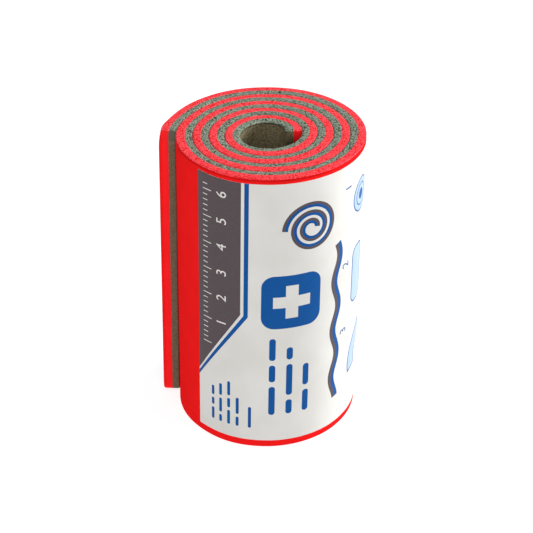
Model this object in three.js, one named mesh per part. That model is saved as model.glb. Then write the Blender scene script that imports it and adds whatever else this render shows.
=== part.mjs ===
// A padded aluminium splint, rolled up and standing on end.
// Millimetres, +Z up. Seen from above, the strip runs outward counterclockwise from its inner end on
// the +X side to its tail on the -X side. The origin is the middle of the outline on the floor.
import * as THREE from 'three';

// Strip
const STRIP_WIDTH = 108; // height of the roll on end
const OUTER_FOAM_THICKNESS = 2.45;
const INNER_FOAM_THICKNESS = 2.61;
const EDGE_ROUNDING = 0.6; // of the foams' long edges

// Roll
const TURNS = 4.502;
const EYE_RADIUS = 9.19; // from the axis to the joint between the foams at the inner end
const OVAL = 0.48; // how far the roll stands out of round along OVAL_AZIMUTH
const OVAL_AZIMUTH = 59.5; // degrees
const BOND_GAP = 0.1; // between the two foams
const TURN_GAP = 0.19; // between one turn and the next
const TAIL_LIFT = 0.5; // how far the tail's end springs off the roll
const TAIL_LIFT_TURNS = 0.06; // over which it does

// Label round the outside
const LABEL_THICKNESS = 0.25;
const LABEL_GAP = 0.1; // between the label and the foam under it
const LABEL_TURNS = 0.88; // how far round the roll its free edge lies from the tail
const LABEL_TOP_MARGIN = 2.2; // from the strip's edges and from its tail
const LABEL_BOTTOM_MARGIN = 2.45;
const LABEL_TAIL_MARGIN = 1.4;

const FACET_LENGTH = 2.1; // along the strip

// Distances that follow from them
const PITCH = OUTER_FOAM_THICKNESS + INNER_FOAM_THICKNESS + BOND_GAP + TURN_GAP;
const OUTER_FACE = BOND_GAP / 2 + OUTER_FOAM_THICKNESS; // from the joint to the strip's two faces
const INNER_FACE = -BOND_GAP / 2 - INNER_FOAM_THICKNESS;

// Distance from the axis to the joint between the foams, some turns past the inner end
function jointRadius(turns) {
  const azimuth = 2 * Math.PI * turns - THREE.MathUtils.degToRad(OVAL_AZIMUTH);
  const lift = TAIL_LIFT * THREE.MathUtils.smoothstep(turns, TURNS - TAIL_LIFT_TURNS, TURNS);
  return EYE_RADIUS + PITCH * turns + OVAL * Math.cos(2 * azimuth) + lift;
}

// The top line of the joint between the foams, from one number of turns inward to another. A shape
// extruded along it has its x downward from the strip's top edge and its y outward from the joint.
class RollCurve extends THREE.Curve {
  constructor(outerTurns, innerTurns) {
    super();
    this.outerTurns = outerTurns;
    this.innerTurns = innerTurns;
    this.arcLengthDivisions = 2000;
  }

  getPoint(share, target = new THREE.Vector3()) {
    const turns = THREE.MathUtils.lerp(this.outerTurns, this.innerTurns, share);
    const azimuth = 2 * Math.PI * turns;
    const radius = jointRadius(turns);
    return target.set(radius * Math.cos(azimuth), radius * Math.sin(azimuth), STRIP_WIDTH);
  }
}

// Section of a foam from its side at the joint to its face, with the face's two edges rounded
function foamSection(jointSide, face) {
  const flat = face - Math.sign(face) * EDGE_ROUNDING;
  const section = new THREE.Shape();
  section.moveTo(0, jointSide);
  section.lineTo(0, flat);
  section.quadraticCurveTo(0, face, EDGE_ROUNDING, face);
  section.lineTo(STRIP_WIDTH - EDGE_ROUNDING, face);
  section.quadraticCurveTo(STRIP_WIDTH, face, STRIP_WIDTH, flat);
  section.lineTo(STRIP_WIDTH, jointSide);
  section.closePath();
  return section;
}

function labelSection() {
  const back = OUTER_FACE + LABEL_GAP;
  const front = back + LABEL_THICKNESS;
  const bottom = STRIP_WIDTH - LABEL_BOTTOM_MARGIN;
  return new THREE.Shape([
    new THREE.Vector2(LABEL_TOP_MARGIN, back),
    new THREE.Vector2(LABEL_TOP_MARGIN, front),
    new THREE.Vector2(bottom, front),
    new THREE.Vector2(bottom, back),
  ]);
}

// One layer of the roll, which is a section carried along a curve
function layer(name, section, curve, material) {
  const steps = Math.ceil(curve.getLength() / FACET_LENGTH);
  const geometry = new THREE.ExtrudeGeometry(section, { steps, extrudePath: curve, curveSegments: 2 });
  const mesh = new THREE.Mesh(geometry, material);
  mesh.name = name;
  return mesh;
}

const strip = new RollCurve(TURNS, 0);

function outerFoam() {
  const material = new THREE.MeshStandardMaterial({ color: 0xdc1f26, roughness: 0.85, metalness: 0 });
  return layer('foam_outer', foamSection(BOND_GAP / 2, OUTER_FACE), strip, material);
}

function innerFoam() {
  const material = new THREE.MeshStandardMaterial({ color: 0x76857a, roughness: 0.9, metalness: 0 });
  return layer('foam_inner', foamSection(-BOND_GAP / 2, INNER_FACE), strip, material);
}

function label() {
  const tailCircumference = 2 * Math.PI * (jointRadius(TURNS) + OUTER_FACE);
  const wrap = new RollCurve(TURNS - LABEL_TAIL_MARGIN / tailCircumference, TURNS - LABEL_TURNS);
  const material = new THREE.MeshStandardMaterial({ color: 0xf1efec, roughness: 0.5, metalness: 0 });
  return layer('label', labelSection(), wrap, material);
}

// The whole roll, with the middle of its outline moved to the origin
const roll = new THREE.Group();
roll.add(outerFoam(), innerFoam(), label());
const middle = new THREE.Box3().setFromObject(roll).getCenter(new THREE.Vector3());
roll.position.set(-middle.x, -middle.y, 0);

export default roll;
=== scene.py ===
import math

import bmesh
import bpy
import numpy as np
from mathutils import Matrix, Vector


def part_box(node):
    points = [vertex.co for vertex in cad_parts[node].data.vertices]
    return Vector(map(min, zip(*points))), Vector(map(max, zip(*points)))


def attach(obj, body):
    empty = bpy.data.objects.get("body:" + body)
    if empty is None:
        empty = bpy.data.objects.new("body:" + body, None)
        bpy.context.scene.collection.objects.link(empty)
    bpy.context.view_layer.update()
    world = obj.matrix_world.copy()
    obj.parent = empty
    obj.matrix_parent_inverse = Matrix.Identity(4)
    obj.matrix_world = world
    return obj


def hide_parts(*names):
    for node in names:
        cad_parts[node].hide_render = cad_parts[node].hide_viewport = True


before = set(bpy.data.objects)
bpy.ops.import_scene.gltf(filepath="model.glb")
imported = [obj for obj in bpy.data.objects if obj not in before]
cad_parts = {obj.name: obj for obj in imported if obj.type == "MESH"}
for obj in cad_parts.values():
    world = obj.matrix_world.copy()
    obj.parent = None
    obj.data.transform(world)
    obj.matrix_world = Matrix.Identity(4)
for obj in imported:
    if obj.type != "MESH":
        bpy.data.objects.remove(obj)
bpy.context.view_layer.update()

MM = 0.001

# The strip and its roll, as the solids have them
STRIP_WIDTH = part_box("foam_outer")[1][2]
TURNS = 4.502
TURN_TABLE = np.linspace(0, TURNS, 20001)  # the turns at which lengths along the strip are kept
EYE_RADIUS = 9.19 * MM  # from the axis to the joint between the foams at the inner end
PITCH = 5.35 * MM
OVAL = 0.48 * MM
OVAL_AZIMUTH = math.radians(59.5)
OUTER_FOAM = 2.59 * MM  # from the joint to where the next turn touches
INNER_FOAM = PITCH - OUTER_FOAM
TAIL_LIFT = 0.5 * MM  # how far the tail's end springs off the roll
TAIL_LIFT_TURNS = 0.06

# How far the outer turns stand out from the solids' at some azimuths, and the turns where that
# starts and where it is whole
GIVE_AZIMUTHS = np.radians((-180, -100, -40, 25, 65, 97, 135, 152, 180))
GIVE = np.array((0.0, 0.05, 0.0, 0.6, 0.6, 0.0, -0.5, -0.6, 0.0)) * MM
GIVE_START = 2.2
GIVE_WHOLE = 3.6

# Spread of the outermost turn's foot
FOOT_SPREAD = 0.6 * MM  # how much further out it stands at one azimuth
FOOT_SPREAD_AZIMUTH = math.radians(-70)
FOOT_SPREAD_SHARPNESS = 4  # the higher, the closer it keeps to that azimuth
FOOT_SPREAD_START = TURNS - 1.5  # it grows over the next turn

# Form of the foam
STRIP_STEP = 0.45 * MM
JOINT_INSET = 0.14 * MM  # how far inside the solids' joint the foams meet
FREE_TURNS = 1 / 60  # over which a foam's edges change where it comes free
CORNER_RADIUS = 3.4 * MM  # of the strip's top corners
CORNER_STEPS = 17
FOOT_CORNER_RADIUS = 2.7 * MM
CORNER_REACH = 6.0 * MM  # of the rows of points that follow a corner
END_ROUNDING = 1.2 * MM  # of the outer foam's vertical edge at the tail
END_EASING = 0.35 * MM  # of the ends' other vertical edges
TAIL_SWELL = 0.65 * MM  # of the outer foam towards its cut end
TAIL_SWELL_LENGTH = 10 * MM
TAIL_FILLING = 0.5  # share of the tail's lift that the inner foam swells to fill
TAIL_SEAT = 0.35 * MM  # how far the turn under the tail bulges towards it
TAIL_SEAT_TURNS = 0.05
TAIL_LEAN = 0.22 * MM  # how much further out the tail's foot stands than its top
TAIL_TUCK = 0.6 * MM  # how far the outer foam draws in at the tail's top corner
TAIL_TUCK_LENGTH = 7 * MM
EYE_PINCH = 0.5 * MM  # how far the inner foam bulges into the eye near its end
EYE_PINCH_TURNS = 0.065
EYE_PINCH_SPREAD = 0.03
TOP_ROUNDING = 0.4 * MM  # of the outer foam's top edge where it is free
EYE_ROUNDING = 0.9 * MM  # of the inner foam's edge round the eye
FOOT_ROUNDING = 0.12 * MM
TAIL_FOOT_ROUNDING = 1.2 * MM  # of the outer foam's foot at the tail
OUTER_SHOULDER = 0.5 * MM, 0.42 * MM  # width and depth of the long edges where turns meet
INNER_SHOULDER = 0.9 * MM, 0.55 * MM
CREASE_DROP = 0.85 * MM  # from the top to the crease under the free edge
CREASE_ROWS = np.array([-2.2, -1, 0, 1, 2.2]) * 0.17 * MM  # heights from its middle
CREASE_SHARES = np.array([0, 0.7, 1, 0.7, 0])  # of its depth at each
CREASE_DEPTH = 0.3 * MM
TOP_CLEARANCE = 0.06 * MM  # under the solids' top
PORE_DEPTH = 0.015 * MM
PORE_SEED = 20
END_REACH = 1.7 * MM  # how far along the cut edges the materials of the strip's ends show
ARC = np.linspace(0, np.pi / 2, 5)  # places on a rounded edge
COLUMNS = 9  # of points across a foam's cut edge
BODY_ROWS = 5  # of points between the corners
CUT, SKIN, TAIL_END, EYE_END_PAINTED_SHADE, CREASE = range(5)  # a foam's material slots

# Label on the outermost turn
LABEL_TURNS = 0.8775
LABEL_TAIL_MARGIN = 1.4 * MM
LABEL_BOTTOM = 2.75 * MM
LABEL_TOP = STRIP_WIDTH - 2.2 * MM
LABEL_THICKNESS = 0.08 * MM
LABEL_LIFT = 0.02 * MM  # from the foam to the label's back
LABEL_SKEW = 0.4 * MM  # how much higher its foot is at the free edge than further round
LABEL_SKEW_SHARE = 1 / 3  # of its length, over which it falls
LABEL_RIM = 0.06 * MM  # width of its outermost rows of faces
LABEL_STEPS = 240
LABEL_ROWS = 40
INK_THICKNESS = 0.015 * MM
INK_STEP = 1.0  # mm along the label between the cuts that let the ink bend
INK_GAP = 0.1  # under the ink, as a share of its thickness

# Marks of the print, in mm along the label and up it
WIDE_DASH = 2.2, 2.0  # thickness and the gap to the next
FINE_DASH = 1.1, 1.2
BACK_DASH = 1.3, 1.6
WAVE_LENGTH = 20
TICK_STEP = 2
TICK_WIDTH = 0.3
SHORT_TICK = 0.55  # as a share of a long one
NUMBER_SIZE = 5.4  # of the rulers' numbers

# Camera, as it stood before the roll's axis
CAMERA_FROM_AXIS = Vector((0.0, -491.84, 363.70)) * MM
CAMERA_PAN = math.radians(0.053)
CAMERA_TILT = math.radians(32.131)
CAMERA_ROLL = math.radians(0.923)
PHOTO_WIDTH_PX = 533
FOCAL_PX = 1646.1
SENSOR_MM = 36.0

LIGHT_DISTANCE = 1.1


def smooth(value):
    """0 below 0, 1 above 1, and a soft step between."""
    share = np.clip(value, 0, 1)
    return share * share * (3 - 2 * share)


def tail_lift(turns):
    """How far the tail has sprung off the roll."""
    return TAIL_LIFT * smooth((turns - TURNS + TAIL_LIFT_TURNS) / TAIL_LIFT_TURNS)


def give(turns):
    """How far the outer turns stand out from the solids'."""
    azimuth = (2 * np.pi * turns + np.pi) % (2 * np.pi) - np.pi
    place = np.clip(np.searchsorted(GIVE_AZIMUTHS, azimuth, side="right") - 1, 0, len(GIVE) - 2)
    step = GIVE_AZIMUTHS[place + 1] - GIVE_AZIMUTHS[place]
    share = smooth((azimuth - GIVE_AZIMUTHS[place]) / step)
    grown = smooth((turns - GIVE_START) / (GIVE_WHOLE - GIVE_START))
    return grown * (GIVE[place] * (1 - share) + GIVE[place + 1] * share)


def solid_radius(turns):
    """Distance in the solids from the axis to the foams' joint, some turns past the inner end."""
    oval = OVAL * np.cos(2 * (2 * np.pi * turns - OVAL_AZIMUTH))
    return EYE_RADIUS + PITCH * turns + oval + tail_lift(turns)


def joint_radius(turns):
    """Distance from the axis to where depths start, the solids' joint moved with the turns."""
    return solid_radius(turns) + give(turns)


def round_axis(turns, radius):
    """Points round the roll's axis at some turns and distances from it."""
    return radius * np.cos(2 * np.pi * turns), radius * np.sin(2 * np.pi * turns)


def find_axis():
    """The roll's axis in the frame, from where the outer foam's box lies."""
    x, y = round_axis(TURN_TABLE, solid_radius(TURN_TABLE) + OUTER_FOAM)
    low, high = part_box("foam_outer")
    return (low[0] + high[0] - x.min() - x.max()) / 2, (low[1] + high[1] - y.min() - y.max()) / 2


def length_table(depth):
    """The length along the strip up to each turn of the table, measured at a depth."""
    x, y = round_axis(TURN_TABLE, joint_radius(TURN_TABLE) + depth)
    return np.concatenate([[0], np.cumsum(np.hypot(np.diff(x), np.diff(y)))])


AXIS = find_axis()
LENGTH_TABLE = length_table(0)
OUTSIDE_TABLE = length_table(OUTER_FOAM)
STRIP_LENGTH = LENGTH_TABLE[-1]
LABEL_START = np.interp(TURNS - LABEL_TURNS, TURN_TABLE, OUTSIDE_TABLE)
LABEL_LENGTH = OUTSIDE_TABLE[-1] - LABEL_TAIL_MARGIN - LABEL_START


def from_tail(turns):
    """Distance along the strip to its tail."""
    return STRIP_LENGTH - np.interp(turns, TURN_TABLE, LENGTH_TABLE)


def near_tail(turns):
    """1 at the tail, falling to 0 along the strip."""
    return smooth(1 - from_tail(turns) / TAIL_TUCK_LENGTH)


def on_roll(turns, depth, height):
    """Points of the frame at some turns, depths outward from the joint, and heights."""
    turns, depth, height = np.broadcast_arrays(turns, depth, height)
    low = 1 - height / STRIP_WIDTH
    lean = TAIL_LEAN * tail_lift(turns) / TAIL_LIFT * (low - 0.5)
    facing = np.maximum(np.cos(2 * np.pi * turns - FOOT_SPREAD_AZIMUTH), 0)
    spread = FOOT_SPREAD * low * facing**FOOT_SPREAD_SHARPNESS * smooth(turns - FOOT_SPREAD_START)
    high_up = smooth(1 - (STRIP_WIDTH - height) / CORNER_REACH)
    tuck = TAIL_TUCK * near_tail(turns) * high_up * np.clip(depth / OUTER_FOAM, 0, 1)
    x, y = round_axis(turns, joint_radius(turns) + depth + lean + spread - tuck)
    return np.stack([AXIS[0] + x, AXIS[1] + y, height], axis=-1)


def wander(seed, grain, amount):
    """A smooth random line along the strip as a function of turns, with a bend every grain metres."""
    count = int(STRIP_LENGTH / grain) + 4
    knots = np.random.default_rng(seed).normal(0, amount, count)

    def value(turns):
        place = np.interp(turns, TURN_TABLE, LENGTH_TABLE) / grain
        left = np.clip(np.floor(place).astype(int), 0, count - 2)
        share = smooth(place - left)
        return knots[left] * (1 - share) + knots[left + 1] * share

    return value


joint_coarse = wander(seed=1, grain=9 * MM, amount=0.05 * MM)
joint_fine = wander(seed=2, grain=1.1 * MM, amount=0.035 * MM)
meeting_coarse = wander(seed=3, grain=12 * MM, amount=0.06 * MM)
meeting_fine = wander(seed=4, grain=1.1 * MM, amount=0.035 * MM)
top_level = wander(seed=5, grain=40 * MM, amount=0.045 * MM)
foot_level = wander(seed=6, grain=40 * MM, amount=0.02 * MM)


def joint_depth(turns):
    """Depth where the foams meet, which wanders."""
    return joint_coarse(turns) + joint_fine(turns) - JOINT_INSET


def outer_depth(turns):
    """Depth of the outer foam's face, which is smooth where it is free and swells at the tail."""
    covered = np.clip((TURNS - 1 - turns) / FREE_TURNS, 0, 1)
    swell = TAIL_SWELL * smooth(1 - from_tail(turns) / TAIL_SWELL_LENGTH)
    seat = TAIL_SEAT * np.exp(-((turns - TURNS + 1) / TAIL_SEAT_TURNS) ** 2)
    return OUTER_FOAM + meeting_coarse(turns) + covered * meeting_fine(turns) + swell + seat


def inner_depth(turns):
    """Depth of the inner foam's face, which lies on the turn inside it."""
    under = np.maximum(turns - 1, 0)
    lying = outer_depth(under) - PITCH - give(turns) + give(under) - TAIL_FILLING * tail_lift(turns)
    pinch = EYE_PINCH * np.exp(-((turns - EYE_PINCH_TURNS) / EYE_PINCH_SPREAD) ** 2)
    return np.where(turns >= 1, lying, -INNER_FOAM - pinch)


def rounding(distance, radius):
    """How far a rounded edge draws back at a distance from where it ends."""
    short = np.clip(radius - distance, 0, radius)
    return radius - np.sqrt(radius**2 - short**2)


def strip_turns():
    """Turns at even steps along the strip, closer together at its two rounded ends."""
    angles = np.linspace(0, np.pi / 2, CORNER_STEPS + 1)[:-1]
    close = CORNER_RADIUS * (1 - np.cos(angles))
    even = np.arange(CORNER_RADIUS, STRIP_LENGTH - CORNER_RADIUS, STRIP_STEP)
    places = np.concatenate([close, even, STRIP_LENGTH - close[::-1]])
    return np.interp(places, LENGTH_TABLE, TURN_TABLE)


def loft(name, foot, face, top, back, band_slots, end_slots, materials):
    """A closed body through sections whose rims run round a grid: foot and top from back to face,
    [section, column, xyz], and back and face from foot to top, [section, row, xyz]. band_slots gives
    the material of the faces after each section, along its foot, face, top and back in turn, and
    end_slots those of the first and last end."""
    count = len(foot)
    rim = np.concatenate([foot, face[:, 1:-1], top[:, ::-1], back[:, -2:0:-1]], axis=1)
    size = rim.shape[1]
    index = np.arange(count * size).reshape(count, size)
    after = np.roll(index, -1, axis=1)
    bands = np.stack([index[:-1], after[:-1], after[1:], index[1:]], axis=-1).reshape(-1, 4)
    points, faces, marks = [rim.reshape(-1, 3)], [bands], [band_slots.reshape(-1)]
    for section, order, slot in ((0, -1, end_slots[0]), (count - 1, 1, end_slots[1])):
        first = sum(map(len, points))
        sides = foot[section], face[section], top[section], back[section]
        number, inner = end_grid(*sides, index[section], first)
        corners = [number[:-1, :-1], number[:-1, 1:], number[1:, 1:], number[1:, :-1]]
        cells = np.stack(corners[::order], axis=-1).reshape(-1, 4)
        points.append(inner)
        faces.append(cells)
        marks.append(np.full(len(cells), slot))
    mesh = bpy.data.meshes.new(name)
    mesh.from_pydata(np.concatenate(points).tolist(), [], np.concatenate(faces).tolist())
    for material in materials:
        mesh.materials.append(material)
    mesh.polygons.foreach_set("material_index", np.concatenate(marks).astype(np.int32))
    return add_piece(name, mesh, is_smooth=True)


def end_grid(foot, face, top, back, rim_index, first):
    """The number of every point of an end's grid, and the points inside its rim."""
    rows, columns = len(face), len(foot)
    across = np.linspace(0, 1, columns)[None, :, None]
    up = np.linspace(0, 1, rows)[:, None, None]
    sides = back[:, None] * (1 - across) + face[:, None] * across
    ends = foot[None] * (1 - up) + top[None] * up
    low_corners = foot[0] * (1 - across) + foot[-1] * across
    high_corners = top[0] * (1 - across) + top[-1] * across
    grid = sides + ends - low_corners * (1 - up) - high_corners * up
    number = np.zeros((rows, columns), dtype=int)
    number[0] = rim_index[:columns]
    number[1:-1, -1] = rim_index[columns:columns + rows - 2]
    number[-1] = rim_index[columns + rows - 2:2 * columns + rows - 2][::-1]
    number[1:-1, 0] = rim_index[2 * columns + rows - 2:][::-1]
    inner = grid[1:-1, 1:-1].reshape(-1, 3)
    number[1:-1, 1:-1] = first + np.arange(len(inner)).reshape(rows - 2, columns - 2)
    return number, inner


def add_piece(name, mesh, is_smooth):
    """An object of the part, with its faces outward."""
    form = bmesh.new()
    form.from_mesh(mesh)
    bmesh.ops.recalc_face_normals(form, faces=form.faces)
    form.to_mesh(mesh)
    form.free()
    mesh.polygons.foreach_set("use_smooth", np.full(len(mesh.polygons), is_smooth))
    piece = bpy.data.objects.new(name, mesh)
    bpy.context.scene.collection.objects.link(piece)
    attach(piece, "root")
    return piece


def edge_profile(foot_width, foot_depth, top_width, top_depth, crease_depth):
    """Heights and insets of a foam's face from its foot edge to its top edge."""
    body = np.linspace(CORNER_REACH, STRIP_WIDTH - CORNER_REACH, BODY_ROWS)
    crease = STRIP_WIDTH - CREASE_DROP + CREASE_ROWS
    low = foot_depth * (1 - np.cos(ARC))
    high = STRIP_WIDTH - top_depth * (1 - np.cos(ARC[::-1]))
    heights = np.concatenate([low, body, crease, high])
    foot_insets = foot_width * (1 - np.sin(ARC))
    top_insets = top_width * (1 - np.sin(ARC[::-1]))
    crease_insets = crease_depth * CREASE_SHARES
    return heights, np.concatenate([foot_insets, np.zeros(len(body)), crease_insets, top_insets])


def foam_face(turns, nearest, side):
    """Heights and insets of a foam's face at some turns, and how deep the face lies."""
    if side > 0:
        free = np.clip((turns - TURNS + 1) / FREE_TURNS, 0, 1)
        end_radius = np.where(from_tail(turns) < STRIP_LENGTH / 2, END_ROUNDING, END_EASING)
        face_depth = outer_depth(turns) - rounding(nearest, end_radius)
        covered = edge_profile(*OUTER_SHOULDER, *OUTER_SHOULDER, 0)
        top = TOP_ROUNDING, TOP_ROUNDING, CREASE_DEPTH
        open_air = edge_profile(FOOT_ROUNDING, FOOT_ROUNDING, *top)
        at_tail = edge_profile(TAIL_FOOT_ROUNDING, TAIL_FOOT_ROUNDING, *top)
    else:
        free = np.clip((1 - turns) / FREE_TURNS, 0, 1)
        face_depth = inner_depth(turns) + rounding(nearest, END_EASING)
        covered = edge_profile(*INNER_SHOULDER, *INNER_SHOULDER, 0)
        open_air = edge_profile(FOOT_ROUNDING, FOOT_ROUNDING, EYE_ROUNDING, EYE_ROUNDING, 0)
        at_tail = open_air
    free, near = free[:, None], near_tail(turns)[:, None]
    heights, insets = [
        hidden + free * (shown + near * (last - shown) - hidden)
        for hidden, shown, last in zip(covered, open_air, at_tail)
    ]
    return heights, insets, face_depth


def foam(name, side, materials):
    """One foam of the strip: side 1 is the outer foam and -1 the inner foam. Its materials are in the
    order of the slots, and only the outer foam has one for the crease."""
    turns = strip_turns()
    to_tail = from_tail(turns)
    nearest = np.minimum(to_tail, STRIP_LENGTH - to_tail)
    heights, insets, face_depth = foam_face(turns, nearest, side)
    heights = level_rows(heights, turns, nearest)

    at, joint = turns[:, None], joint_depth(turns)[:, None]
    face_depths = face_depth[:, None] - side * insets
    share = np.linspace(0, 1, COLUMNS)
    foot, top = [
        on_roll(at, joint * (1 - share) + face_depths[:, row, None] * share, heights[:, row, None])
        for row in (0, -1)
    ]
    face = on_roll(at, face_depths, heights)
    back = on_roll(at, joint, heights)
    roughen(face, back, foot, top, seed=PORE_SEED + side)

    band_slots = foam_slots(to_tail[:-1], heights.shape[1] - 1, side)
    return loft(name, foot, face, top, back, band_slots, (EYE_END_PAINTED_SHADE, TAIL_END), materials)


def foam_slots(to_tail, rows, side):
    """The slots of a foam's faces, as loft takes them, at some distances from the tail."""
    columns, arc = COLUMNS - 1, len(ARC) - 1
    face_top = columns + rows - arc
    slots = np.full((len(to_tail), 2 * (columns + rows)), CUT)
    slots[:, columns + arc:face_top] = SKIN
    slots[:, -rows:] = SKIN
    if side > 0:
        # The crease's faces take a darker red than the skin: painted shade in the groove.
        slots[:, face_top - len(CREASE_ROWS):face_top - 1] = CREASE
        # On the outer foam the tail's end takes a brighter red than the skin, partly painted light.
        slots[to_tail < END_REACH, face_top:-rows] = TAIL_END
    else:
        slots[to_tail < END_REACH, :-rows] = TAIL_END
    # The strip's end in the eye takes darker copies of the skins: painted shade of the hole.
    slots[STRIP_LENGTH - to_tail < END_REACH, :-rows] = EYE_END_PAINTED_SHADE
    # Near the tail the foot's cut faces take the end's materials too: on the outer foam a brighter
    # red, partly painted light.
    slots[to_tail < CORNER_RADIUS, :columns + arc] = TAIL_END
    return slots


def level_rows(heights, turns, nearest):
    """Rows of a foam's face moved to its wandering top and foot, and round the strip's corners."""
    foot = np.abs(foot_level(turns))[:, None]
    top = STRIP_WIDTH - TOP_CLEARANCE - np.abs(top_level(turns))[:, None]
    levelled = foot + heights * (top - foot) / STRIP_WIDTH
    low_corner = rounding(nearest, FOOT_CORNER_RADIUS)[:, None]
    high_corner = rounding(nearest, CORNER_RADIUS)[:, None]
    levelled += low_corner * np.clip((CORNER_REACH - heights) / CORNER_REACH, 0, 1)
    levelled -= high_corner * np.clip((heights - STRIP_WIDTH + CORNER_REACH) / CORNER_REACH, 0, 1)
    return levelled


def roughen(face, back, foot, top, seed):
    """Sinks the points of the cut surfaces by uneven small amounts, as open cells do."""
    random = np.random.default_rng(seed)
    top[:, :, 2] -= np.abs(random.normal(0, PORE_DEPTH, top.shape[:2]))
    foot[:, :, 2] += np.abs(random.normal(0, PORE_DEPTH, foot.shape[:2]))
    face[:, 0] = foot[:, -1]
    back[:, 0] = foot[:, 0]
    face[:, -1] = top[:, -1]
    back[:, -1] = top[:, 0]


def rimmed(places):
    """Even places with one more close to each end, so that the shading turns only at the rim."""
    near_ends = [places[0] + LABEL_RIM, places[-1] - LABEL_RIM]
    return np.sort(np.concatenate([places, near_ends]))


def label(material):
    """The printed wrap round the outermost turn."""
    along = rimmed(np.linspace(0, LABEL_LENGTH, LABEL_STEPS))
    turns = np.interp(LABEL_START + along, OUTSIDE_TABLE, TURN_TABLE)[:, None]
    skew = LABEL_SKEW * (0.5 - smooth(along / LABEL_LENGTH / LABEL_SKEW_SHARE))[:, None]
    heights = rimmed(np.linspace(LABEL_BOTTOM, LABEL_TOP, LABEL_ROWS))[None]
    heights = heights + skew * (LABEL_TOP - heights) / (LABEL_TOP - LABEL_BOTTOM)
    under = outer_depth(turns) + LABEL_LIFT
    face = on_roll(turns, under + LABEL_THICKNESS, heights)
    back = on_roll(turns, under, heights)
    across = np.stack([back, (back + face) / 2, face], axis=2)
    foot, top = across[:, 0], across[:, -1]
    rim = 2 * (foot.shape[1] - 1 + face.shape[1] - 1)
    band_slots = np.zeros((len(along) - 1, rim), dtype=int)
    return loft("printed_label", foot, face, top, back, band_slots, (0, 0), [material])


def rectangle(left, low, width, height):
    """An outline on the label: millimetres along it from its free edge, and up from the floor."""
    return [(left, low), (left + width, low), (left + width, low + height), (left, low + height)]


def rounded(left, low, width, height, radius, count=8):
    """A rectangle with round corners."""
    right, high = left + width - radius, low + height - radius
    left, low = left + radius, low + radius
    outline = []
    for x, y, start in ((right, low, -90), (right, high, 0), (left, high, 90), (left, low, 180)):
        for angle in np.radians(np.linspace(start, start + 90, count)):
            outline.append((x + radius * math.cos(angle), y + radius * math.sin(angle)))
    return outline


def plus(x, y, size, arm):
    """A plus sign round a point."""
    half, thin = size / 2, arm / 2
    quarter = (thin, thin), (thin, half), (-thin, half)
    outline = []
    for cos, sin in ((1, 0), (0, 1), (-1, 0), (0, -1)):
        outline += [(x + cos * dx - sin * dy, y + sin * dx + cos * dy) for dx, dy in quarter]
    return outline


def offset(points, distance):
    """A line moved to its left by a distance."""
    line = np.array(points, dtype=float)
    along = np.gradient(line, axis=0)
    aside = np.stack([-along[:, 1], along[:, 0]], axis=1)
    return line + aside * distance / np.linalg.norm(aside, axis=1)[:, None]


def stroke(points, width):
    """The outline of a line of a width through points."""
    sides = offset(points, width / 2), offset(points, -width / 2)[::-1]
    return [tuple(point) for point in np.concatenate(sides)]


def curl(x, y, start, end, first_radius, last_radius, count):
    """Points on an arc or spiral round a point, between two angles in degrees."""
    angles = np.radians(np.linspace(start, end, count))
    radii = np.linspace(first_radius, last_radius, count)
    return [(x + r * math.cos(a), y + r * math.sin(a)) for r, a in zip(radii, angles)]


def disc(x, y, radius):
    return curl(x, y, start=0, end=360, first_radius=radius, last_radius=radius, count=40)


def spiral(x, y, radius):
    """A line rolled up in two and a half turns."""
    return curl(x, y, start=-720, end=180, first_radius=0.2 * radius, last_radius=radius, count=150)


def ripple(x, high, low, sway):
    """A line that hangs down in waves."""
    heights = np.linspace(high, low, 80)
    return [(x + sway * math.sin(2 * math.pi * (high - y) / WAVE_LENGTH), y) for y in heights]


def ticks(left, low, high, length):
    """Ruler ticks up the label, longer at every fifth."""
    marks = []
    for number, height in enumerate(np.arange(low, high + TICK_STEP / 2, TICK_STEP)):
        share = 1 if number % 5 == 0 else SHORT_TICK
        marks.append(rectangle(left, height - TICK_WIDTH / 2, length * share, TICK_WIDTH))
    return marks


def dashes(left, low, lengths, thickness, gap):
    """A line of round-ended dashes up the label."""
    marks, height = [], low
    for length in lengths:
        marks.append(rounded(left, height, thickness, length, radius=thickness * 0.45, count=4))
        height += length + gap
    return marks


def add_flat(form, curve, place):
    """Adds a filled curve's faces to a mesh being built."""
    holder = bpy.data.objects.new("flat", curve)
    bpy.context.scene.collection.objects.link(holder)
    filled = holder.evaluated_get(bpy.context.evaluated_depsgraph_get())
    mesh = bpy.data.meshes.new_from_object(filled)
    mesh.transform(place)
    form.from_mesh(mesh)
    bpy.data.objects.remove(holder)


def flat_print(outlines, numbers):
    """A flat mesh of filled outlines, with holes where one lies in another, and of numbers that read
    up the label, each (text, x, y, size)."""
    curve = bpy.data.curves.new("outlines", "CURVE")
    curve.dimensions = "2D"
    curve.fill_mode = "BOTH"
    for outline in outlines:
        spline = curve.splines.new("POLY")
        spline.points.add(len(outline) - 1)
        for point, (x, y) in zip(spline.points, outline):
            point.co = (x, y, 0, 1)
        spline.use_cyclic_u = True
    form = bmesh.new()
    add_flat(form, curve, Matrix.Identity(4))
    upward = Matrix.Rotation(math.pi / 2, 4, "Z")
    for text, x, y, size in numbers:
        letters = bpy.data.curves.new("number", "FONT")
        letters.body = text
        letters.size = size
        letters.align_x = "CENTER"
        letters.align_y = "CENTER"
        letters.resolution_u = 4
        add_flat(form, letters, Matrix.Translation((x, y, 0)) @ upward)
    return form


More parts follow.
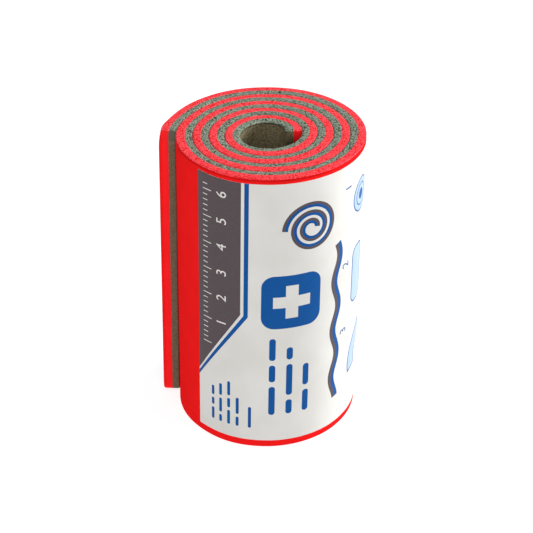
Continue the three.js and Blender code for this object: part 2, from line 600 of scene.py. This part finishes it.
def ink(name, material, outlines, numbers=(), layer=0):
    """Print on the label: thin closed bodies that are drawn flat, in millimetres, and bent to it."""
    form = flat_print(outlines, numbers)
    bmesh.ops.remove_doubles(form, verts=form.verts, dist=0.001)
    for cut in np.arange(INK_STEP, LABEL_LENGTH / MM, INK_STEP):
        parts = form.verts[:] + form.edges[:] + form.faces[:]
        bmesh.ops.bisect_plane(form, geom=parts, dist=1e-5, plane_co=(cut, 0, 0), plane_no=(1, 0, 0))
    raised = bmesh.ops.extrude_face_region(form, geom=form.faces[:])
    for part in raised["geom"]:
        if isinstance(part, bmesh.types.BMVert):
            part.co.z = 1
    points = np.array([vert.co[:] for vert in form.verts])
    turns = np.interp(LABEL_START + points[:, 0] * MM, OUTSIDE_TABLE, TURN_TABLE)
    lift = LABEL_LIFT + LABEL_THICKNESS + (INK_GAP + layer + points[:, 2]) * INK_THICKNESS
    bent = on_roll(turns, outer_depth(turns) + lift, points[:, 1] * MM)
    for vert, place in zip(form.verts, bent):
        vert.co = place
    mesh = bpy.data.meshes.new(name)
    form.to_mesh(mesh)
    form.free()
    mesh.materials.append(material)
    return add_piece(name, mesh, is_smooth=False)


def print_label():
    """The label's print: dark panels with rulers and numbers at its two ends, a tile with a plus,
    rows of dashes, rolled and hanging strips, and pale pictures of discs, bars and an arch."""
    charcoal = printing_ink("ink_charcoal", (90, 80, 84), (84, 74, 78))
    white = printing_ink("ink_white", (226, 224, 219), (220, 217, 212))
    blue = printing_ink("ink_blue", (0, 84, 156), (0, 76, 146))
    pale = printing_ink("ink_pale_blue", (172, 194, 224), (164, 188, 220))
    low, top, length = LABEL_BOTTOM / MM, LABEL_TOP / MM, LABEL_LENGTH / MM

    strips = [
        (spiral(41, 88, 9.5), 1.0),
        (ripple(52.5, 78, 14, 1.2), 1.5),
        (spiral(108, 84, 9.5), 1.0),
        (ripple(127, 97, 46, 1.6), 1.5),
    ]
    outer_sides = [stroke(offset(line, -width / 2), width) for line, width in strips]
    inner_sides = [stroke(offset(line, width / 2), width) for line, width in strips]
    panel = [(0, 27), (0, top), (17, top), (17, 55)]
    back_panel = [(length - 20, low), (length, low), (length, 78), (length - 20, 45)]
    ink("print_charcoal", charcoal, [panel, back_panel] + outer_sides)

    scale = [(str(number), 10.2, 40 + 10 * number, NUMBER_SIZE) for number in range(1, 7)]
    scale += [(str(number), length - 8, 2 + 10 * number, NUMBER_SIZE) for number in range(1, 6)]
    marks = ticks(2.4, 40, 102, length=3.6) + ticks(length - 4.4, 12, 62, length=3.0)
    ink("print_white", white, marks, scale, layer=1)

    tile = [rounded(24, 50, 21, 21, radius=4.5), plus(34.5, 60.5, size=13, arm=4.4)]
    stripe = [(0, 24.3), (0, 25.9), (18.1, 54.8), (18.1, top), (19.6, top), (19.6, 54.4)]
    lines = []
    for left, bottom, lengths, kind in (
        (27, 14, (12, 7, 9), WIDE_DASH),
        (33, 14, (6, 13, 5), WIDE_DASH),
        (39, 14, (9, 9), WIDE_DASH),
        (6, 8, (5, 3, 4), FINE_DASH),
        (9.2, 8, (3, 6, 5), FINE_DASH),
        (12.4, 8, (6, 4, 6), FINE_DASH),
        (15.6, 8, (4, 7), FINE_DASH),
        (20, 8, (9,), FINE_DASH),
        (98, 14, (16, 9, 12), WIDE_DASH),
        (104, 14, (8, 18), WIDE_DASH),
        (110, 14, (12, 6, 10), WIDE_DASH),
        (122, 14, (9, 14), BACK_DASH),
        (126, 14, (14, 7), BACK_DASH),
        (130, 14, (6, 11, 5), BACK_DASH),
    ):
        lines += dashes(left, bottom, lengths, *kind)
    numbers = [("1", 57.5, 97, 5), ("2", 57.5, 67, 5), ("3", 57.5, 40, 5)]
    ink("print_blue", blue, tile + [stripe] + lines + inner_sides, numbers)

    arch = curl(76, 20, start=182, end=100, first_radius=11, last_radius=15, count=30)
    bar, back_bar = rounded(62, 48, 9, 23, radius=3.5), rounded(141, 42, 12, 24, radius=3.5)
    pictures = [disc(67.5, 90, 6.5), bar, stroke(arch, 6), disc(147, 86, 9), back_bar]
    outlines = [disc(67.5, 90, radius) for radius in (6.5, 6.0, 4.2, 3.8, 2.0)]
    outlines += [disc(147, 86, radius) for radius in (9.0, 8.4, 6.0, 5.5, 3.0)]
    outlines += [bar, rounded(62.5, 48.5, 8, 22, radius=3), stroke(arch, 6), stroke(arch[1:-1], 5)]
    outlines += [back_bar, rounded(141.5, 42.5, 11, 23, radius=3)]
    ink("print_pale", pale, pictures)
    ink("print_outlines", blue, outlines, layer=1)


def linear(levels):
    """A linear colour from screen levels of 0 to 255."""
    shares = [level / 255 for level in levels]
    return tuple(v / 12.92 if v <= 0.04045 else ((v + 0.055) / 1.055) ** 2.4 for v in shares)


class Finish:
    """A material being put together from nodes in the frame's coordinates."""

    def __init__(self, name, roughness, specular):
        self.material = bpy.data.materials.new(name)
        self.material.use_nodes = True
        self.tree = self.material.node_tree
        self.shader = self.tree.nodes["Principled BSDF"]
        self.shader.inputs["Roughness"].default_value = roughness
        self.shader.inputs["Specular IOR Level"].default_value = specular
        self.place = self.tree.nodes.new("ShaderNodeTexCoord").outputs["Object"]

    def put(self, socket, value):
        """Links an output to a socket, or sets the socket's number or colour."""
        if isinstance(value, bpy.types.NodeSocket):
            self.tree.links.new(value, socket)
        elif isinstance(value, tuple):
            socket.default_value = (*value, 1)
        else:
            socket.default_value = value

    def noise(self, size, detail=2.0):
        texture = self.tree.nodes.new("ShaderNodeTexNoise")
        self.put(texture.inputs["Vector"], self.place)
        self.put(texture.inputs["Scale"], 1 / size)
        self.put(texture.inputs["Detail"], detail)
        return texture.outputs["Fac"]

    def height(self):
        parts = self.tree.nodes.new("ShaderNodeSeparateXYZ")
        self.put(parts.inputs["Vector"], self.place)
        return parts.outputs["Z"]

    def cells(self, size, output):
        """Random cells: their "Color" is even within each, and "Distance" grows from its middle."""
        texture = self.tree.nodes.new("ShaderNodeTexVoronoi")
        self.put(texture.inputs["Vector"], self.place)
        self.put(texture.inputs["Scale"], 1 / size)
        return texture.outputs[output]

    def blend(self, operation, first, second):
        made = self.tree.nodes.new("ShaderNodeMath")
        made.operation = operation
        self.put(made.inputs[0], first)
        self.put(made.inputs[1], second)
        return made.outputs[0]

    def ramp(self, value, *stops):
        """A colour that changes with a value, through stops of (value, screen levels)."""
        made = self.tree.nodes.new("ShaderNodeValToRGB")
        self.put(made.inputs["Fac"], value)
        elements = made.color_ramp.elements
        while len(elements) < len(stops):
            elements.new(0.5)
        for element, (position, levels) in zip(elements, stops):
            element.position = position
            element.color = (*linear(levels), 1)
        return made.outputs["Color"]

    def bump(self, height, depth):
        made = self.tree.nodes.new("ShaderNodeBump")
        self.put(made.inputs["Height"], height)
        self.put(made.inputs["Distance"], depth)
        self.put(self.shader.inputs["Normal"], made.outputs["Normal"])

    def colour(self, value):
        self.put(self.shader.inputs["Base Color"], value)


def cut_foam(name, pore, wall, light):
    """A foam's cut edge: fine open cells with dark gaps, some lighter than others."""
    finish = Finish(name, roughness=0.9, specular=0.0)
    middle = finish.blend("SUBTRACT", 1.0, finish.cells(0.48 * MM, "Distance"))
    cell = finish.blend("MULTIPLY", middle, 0.9)
    speck = finish.blend("MULTIPLY", finish.cells(0.25 * MM, "Color"), 0.35)
    tone = finish.blend("ADD", cell, speck)
    finish.colour(finish.ramp(tone, (0.3, pore), (0.62, wall), (0.94, light)))
    finish.bump(tone, depth=0.01 * MM)
    return finish.material


def end_foam(name, dark, wall, corner):
    """The inner foam's end at the tail, whose tone changes up the strip's top corner to a painted
    shade of its rounding.
    """
    finish = Finish(name, roughness=0.9, specular=0.0)
    over = finish.blend("SUBTRACT", finish.height(), STRIP_WIDTH - CORNER_REACH)
    # Up the top corner the tone climbs to the last colour, a painted shade of the rounding.
    corner_shade_rise = finish.blend("MULTIPLY", over, 1 / CORNER_REACH)
    grain = finish.blend("MULTIPLY", finish.cells(0.3 * MM, "Color"), 0.3)
    tone = finish.blend("ADD", finish.blend("MAXIMUM", corner_shade_rise, 0.15), grain)
    finish.colour(finish.ramp(tone, (0.2, dark), (0.4, wall), (0.62, corner)))
    finish.bump(finish.noise(0.3 * MM), depth=0.03 * MM)
    return finish.material


def foam_skin(name, colour, shade):
    """The smooth skin of the outer foam, with faint dimples."""
    finish = Finish(name, roughness=0.5, specular=0.0)
    finish.colour(finish.ramp(finish.noise(7 * MM, detail=3.0), (0.35, shade), (0.65, colour)))
    dimples = finish.blend("ADD", finish.cells(0.9 * MM, "Distance"), finish.noise(0.25 * MM))
    finish.bump(dimples, depth=0.01 * MM)
    return finish.material


def mottled_skin(name, dark, light):
    """The inner foam's skin, speckled with its cells."""
    finish = Finish(name, roughness=0.8, specular=0.0)
    tone = finish.cells(0.33 * MM, "Color")
    finish.colour(finish.ramp(tone, (0.25, dark), (0.75, light)))
    finish.bump(finish.cells(0.5 * MM, "Distance"), depth=0.03 * MM)
    return finish.material


def label_film():
    """White printed film, with the faint unevenness of the foam under it."""
    finish = Finish("label_film", roughness=0.4, specular=0.1)
    stops = (0.35, (216, 214, 209)), (0.65, (222, 221, 217))
    finish.colour(finish.ramp(finish.noise(16 * MM), *stops))
    finish.bump(finish.noise(2.4 * MM), depth=0.015 * MM)
    return finish.material


def printing_ink(name, colour, shade):
    finish = Finish(name, roughness=0.45, specular=0.1)
    finish.colour(finish.ramp(finish.noise(0.4 * MM), (0.35, shade), (0.65, colour)))
    return finish.material


def build():
    red_cut = cut_foam("foam_outer_cut", (212, 30, 34), (254, 65, 73), (255, 108, 116))
    red_skin = foam_skin("foam_outer_skin", (246, 31, 32), (241, 29, 30))
    # Brighter red than the skin on the tail's cut end and the foot beside it: partly the cut end's
    # own tone, partly painted light.
    red_tail_tone_and_painted_light = foam_skin("foam_outer_tail_tone_and_painted_light", (255, 40, 44), (252, 36, 40))
    # Darker red than the skin, for the strip's end in the eye: painted shade of the hole.
    red_start_painted_shade = foam_skin("foam_outer_start_painted_shade", (222, 26, 30), (212, 24, 28))
    # Darker red than the skin on the crease under the free top edge: painted shade in the groove.
    red_crease_painted_shade = foam_skin("foam_outer_crease_painted_shade", (222, 26, 27), (214, 24, 25))
    grey_cut = cut_foam("foam_inner_cut", (48, 40, 26), (116, 128, 112), (174, 187, 171))
    grey_skin = mottled_skin("foam_inner_skin", (102, 92, 68), (146, 136, 108))
    # Its last colour is painted shade up the rounded top corner of the tail's end.
    grey_tail_painted_corner_shade = end_foam("foam_inner_tail_painted_corner_shade", (94, 88, 70), (122, 115, 96), (97, 98, 84))
    # Darker copy of the inner foam's skin, for its end in the eye: painted shade of the hole.
    grey_start_painted_shade = mottled_skin("foam_inner_start_painted_shade", (76, 68, 50), (104, 94, 72))
    outer = foam("red_foam", 1, [red_cut, red_skin, red_tail_tone_and_painted_light, red_start_painted_shade, red_crease_painted_shade])
    inner = foam("charcoal_foam", -1, [grey_cut, grey_skin, grey_tail_painted_corner_shade, grey_start_painted_shade])
    for piece, node in ((outer, "foam_outer"), (inner, "foam_inner")):
        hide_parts(node)
    wrap = label(label_film())
    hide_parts("label")
    print_label()


def area_light(name, azimuth, elevation, size, power):
    """A square soft light that shines on the middle of the part."""
    turn = Matrix.Rotation(math.radians(azimuth), 4, "Z")
    tilt = Matrix.Rotation(math.radians(-elevation), 4, "Y")
    place = turn @ tilt @ Vector((LIGHT_DISTANCE, 0, 0))
    data = bpy.data.lights.new(name, "AREA")
    data.size = size
    data.energy = power
    light = bpy.data.objects.new(name, data)
    light.location = place + Vector((0, 0, STRIP_WIDTH / 2))
    light.rotation_euler = (-place).to_track_quat("-Z", "Y").to_euler()
    bpy.context.scene.collection.objects.link(light)


def stage():
    """A plain pale floor and soft light."""
    bpy.ops.mesh.primitive_plane_add(size=8)
    floor = bpy.context.object
    floor.name = "floor"
    pale = Finish("floor_pale", roughness=0.9, specular=0.0)
    pale.colour((0.35, 0.35, 0.35))
    pale.put(pale.shader.inputs["Emission Color"], (1.0, 1.0, 1.0))
    pale.put(pale.shader.inputs["Emission Strength"], 0.8)
    floor.data.materials.append(pale.material)

    world = bpy.data.worlds.new("studio")
    world.use_nodes = True
    world.node_tree.nodes["Background"].inputs["Color"].default_value = (1, 1, 1, 1)
    world.node_tree.nodes["Background"].inputs["Strength"].default_value = 0.32
    bpy.context.scene.world = world
    area_light("key", azimuth=22, elevation=20, size=0.5, power=15.0)
    area_light("top", azimuth=-100, elevation=75, size=0.7, power=4.0)
    area_light("fill", azimuth=-92, elevation=30, size=0.7, power=2.2)
    bpy.context.scene.view_settings.view_transform = "Standard"


def add_camera():
    """The camera where the photograph was taken from."""
    data = bpy.data.cameras.new("camera")
    data.sensor_width = SENSOR_MM
    data.lens = FOCAL_PX / PHOTO_WIDTH_PX * SENSOR_MM
    data.clip_start = 0.01
    camera = bpy.data.objects.new("camera", data)
    place = Matrix.Translation(CAMERA_FROM_AXIS + Vector((*AXIS, 0)))
    turn = Matrix.Rotation(-CAMERA_PAN, 4, "Z") @ Matrix.Rotation(math.pi / 2 - CAMERA_TILT, 4, "X")
    camera.matrix_world = place @ turn @ Matrix.Rotation(CAMERA_ROLL, 4, "Z")
    bpy.context.scene.collection.objects.link(camera)
    bpy.context.scene.camera = camera


build()
stage()
add_camera()
